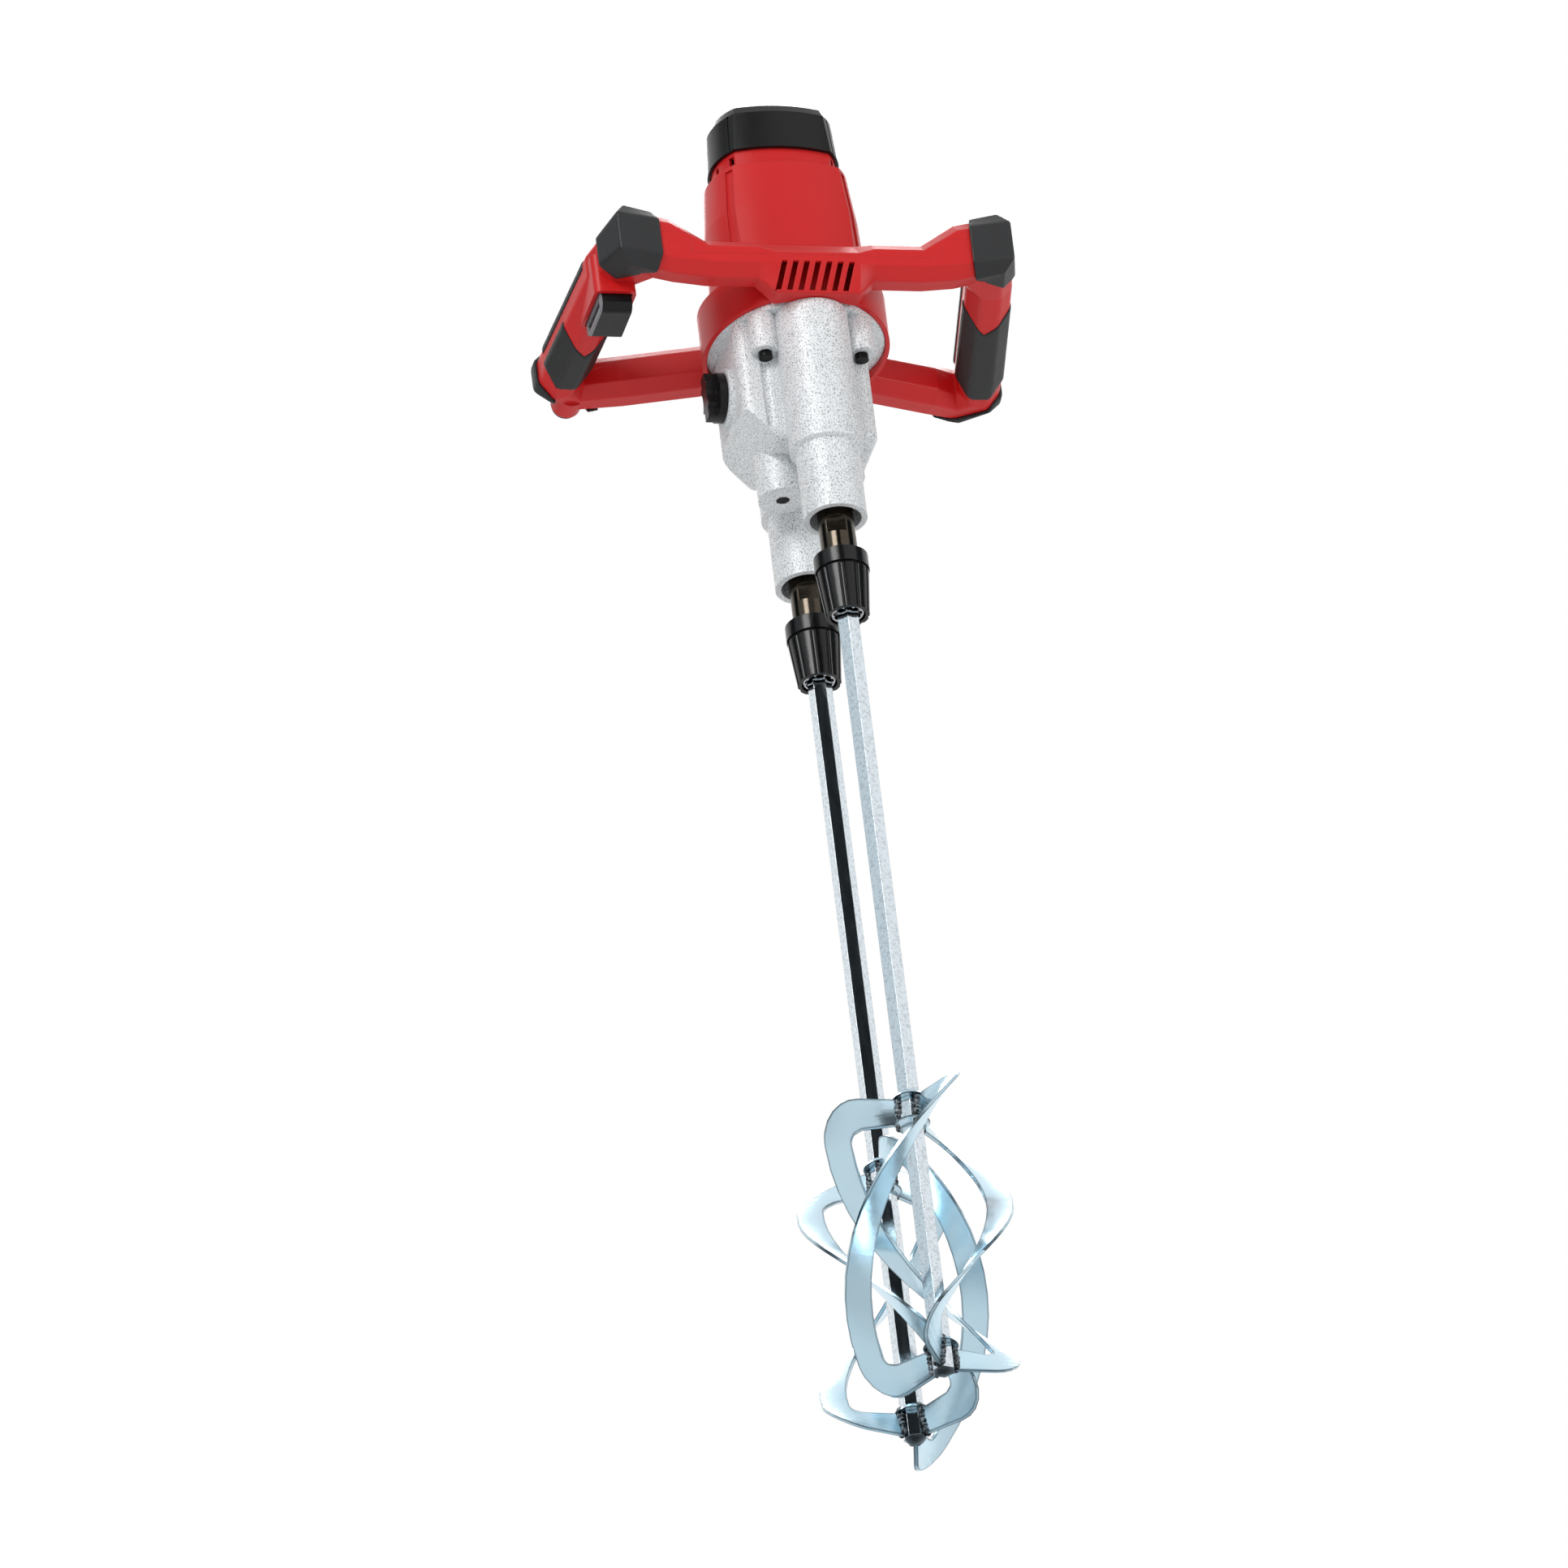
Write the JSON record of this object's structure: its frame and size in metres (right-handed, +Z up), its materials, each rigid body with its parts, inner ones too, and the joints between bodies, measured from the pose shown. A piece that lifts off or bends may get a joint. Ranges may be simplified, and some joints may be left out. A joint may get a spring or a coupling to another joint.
{
  "type": "mixing drill",
  "caption": "Two-handled mixing drill: vertical motor in a red housing with a loop handle frame, cast gear housing, and counter-turning hexagon rods with twisted blade paddles.",
  "frame": {"origin": "on the motor axis, midway between the two spindle axes, at grip height", "axes": "+Z up along the motor axis, +Y to the rear, +X to the user's right hand side seen from the front"},
  "size_m": [0.3216, 0.206, 1.0035],
  "materials": {
    "red_plastic": "fine satin moulding",
    "black_plastic": "fine grained moulding",
    "black_rubber": "leather-like grain",
    "grey_plastic": "satin",
    "cast_aluminium": "hammered silver coat",
    "steel": "ground",
    "zinc": "bright zinc plate",
    "gunmetal": "satin black oxide",
    "copper": "enamelled wire",
    "carbon": "pressed carbon"
  },
  "bodies": {
    "drill": {"motor_housing": "red_plastic", "motor_cap": "black_plastic", "brush_bridge": "black_plastic", "brush_holders": "black_plastic", "carbon_brushes": "carbon", "brush_springs": "steel", "stator_core": "steel", "field_coils": "copper", "motor_bearings": "steel", "bearing_plate": "cast_aluminium", "gear_housing": "cast_aluminium", "gear_housing_screws": "steel", "gear_bridge": "steel", "gearbox_pins": "steel", "spindle_bearings": "steel", "shaft_seals": "black_rubber", "frame_upper_shell": "red_plastic", "frame_lower_shell": "red_plastic", "case_screws": "steel", "left_grip_pads": "black_rubber", "right_grip_pads": "black_rubber", "left_front_bumper": "black_rubber", "right_front_bumper": "black_rubber", "rear_bumpers": "black_rubber", "cord_gland": "black_rubber", "switch_body": "black_plastic", "trigger_pin": "steel"},
    "armature": {"armature_shaft": "steel", "armature_core": "steel", "armature_windings": "copper", "commutator": "copper", "cooling_fan": "black_plastic", "motor_pinion": "steel"},
    "layshaft_gears": {"layshaft": "steel", "layshaft_gear": "steel", "layshaft_pinions": "steel"},
    "centre_gears": {"centre_shaft": "steel", "low_gear": "steel", "drive_gear": "steel"},
    "loose_high_gear": {"high_gear": "steel"},
    "clutch_sleeve": {"shift_sleeve": "steel"},
    "fork": {"shift_fork": "steel"},
    "idler": {"idler_gear": "steel"},
    "selector": {"selector_knob": "black_plastic"},
    "front_mixer": {"front_spindle": "gunmetal", "front_spindle_gear": "steel", "front_rod": "zinc", "front_paddle": "zinc", "front_coupling_spring": "steel"},
    "rear_mixer": {"rear_spindle": "gunmetal", "rear_spindle_gear": "steel", "rear_rod": "zinc", "rear_paddle": "zinc", "rear_coupling_spring": "steel"},
    "front_sleeve": {"front_coupling_sleeve": "gunmetal"},
    "rear_sleeve": {"rear_coupling_sleeve": "gunmetal"},
    "trigger_lever": {"trigger": "black_plastic", "trigger_plate": "grey_plastic"},
    "lock_pin": {"lock_button": "black_plastic"}
  },
  "joints": [
    {"name": "front_spindle_spin", "type": "hinge", "parent": "drill", "child": "front_mixer", "pos_m": [0, -0.043, -0.1], "axis": [0, 0, 1], "continuous": true},
    {"name": "rear_spindle_spin", "type": "hinge", "parent": "drill", "child": "rear_mixer", "pos_m": [0, 0.043, -0.1], "axis": [0, 0, 1], "continuous": true},
    {"name": "centre_shaft_spin", "type": "hinge", "parent": "drill", "child": "centre_gears", "pos_m": [0, 0, -0.1], "axis": [0, 0, 1], "continuous": true},
    {"name": "layshaft_spin", "type": "hinge", "parent": "drill", "child": "layshaft_gears", "pos_m": [-0.0255, 0, -0.1], "axis": [0, 0, 1], "continuous": true},
    {"name": "armature_spin", "type": "hinge", "parent": "drill", "child": "armature", "pos_m": [0, 0, -0.1], "axis": [0, 0, 1], "continuous": true},
    {"name": "high_gear_spin", "type": "hinge", "parent": "drill", "child": "loose_high_gear", "pos_m": [0, 0, -0.1], "axis": [0, 0, 1], "continuous": true},
    {"name": "idler_spin", "type": "hinge", "parent": "drill", "child": "idler", "pos_m": [0.02563, 0.02384, -0.1], "axis": [0, 0, 1], "continuous": true},
    {"name": "selector_turn", "type": "hinge", "parent": "drill", "child": "selector", "pos_m": [-0.056, 0, -0.06475], "axis": [1, 0, 0], "range_deg": [0, 180]},
    {"name": "fork_slide", "type": "slide", "parent": "drill", "child": "fork", "axis": [0, 0, -1], "range_m": [0, 0.0035]},
    {"name": "clutch_slide", "type": "slide", "parent": "centre_gears", "child": "clutch_sleeve", "axis": [0, 0, -1], "range_m": [0, 0.0035]},
    {"name": "front_sleeve_slide", "type": "slide", "parent": "front_mixer", "child": "front_sleeve", "axis": [0, 0, 1], "range_m": [0, 0.007], "stiffness_N_per_m": 900, "springref_m": -0.006, "deforming": ["front_coupling_spring"]},
    {"name": "rear_sleeve_slide", "type": "slide", "parent": "rear_mixer", "child": "rear_sleeve", "axis": [0, 0, 1], "range_m": [0, 0.007], "stiffness_N_per_m": 900, "springref_m": -0.006, "deforming": ["rear_coupling_spring"]},
    {"name": "trigger_pull", "type": "hinge", "parent": "drill", "child": "trigger_lever", "pos_m": [-0.1335, -0.044, -0.0095], "axis": [1, 0, 0], "range_deg": [0, 8], "stiffness_Nm_per_rad": 2, "springref_deg": -8.59},
    {"name": "lock_button_press", "type": "slide", "parent": "drill", "child": "lock_pin", "axis": [-1, 0, 0], "range_m": [0, 0.0025], "stiffness_N_per_m": 800, "springref_m": -0.002}
  ],
  "couplings": [
    {"joint": "rear_spindle_spin", "follows": "front_spindle_spin", "ratio": -1},
    {"joint": "centre_shaft_spin", "follows": "front_spindle_spin", "ratio": -0.86957},
    {"joint": "layshaft_spin", "follows": "front_spindle_spin", "ratio": 2.8261},
    {"joint": "armature_spin", "follows": "front_spindle_spin", "ratio": -13.188},
    {"joint": "high_gear_spin", "follows": "front_spindle_spin", "ratio": -1.2919},
    {"joint": "idler_spin", "follows": "front_spindle_spin", "ratio": 1.6667},
    {"joint": "selector_turn", "follows": "fork_slide", "rad_per_m": 897.59},
    {"joint": "clutch_slide", "follows": "fork_slide", "ratio": 1}
  ]
}
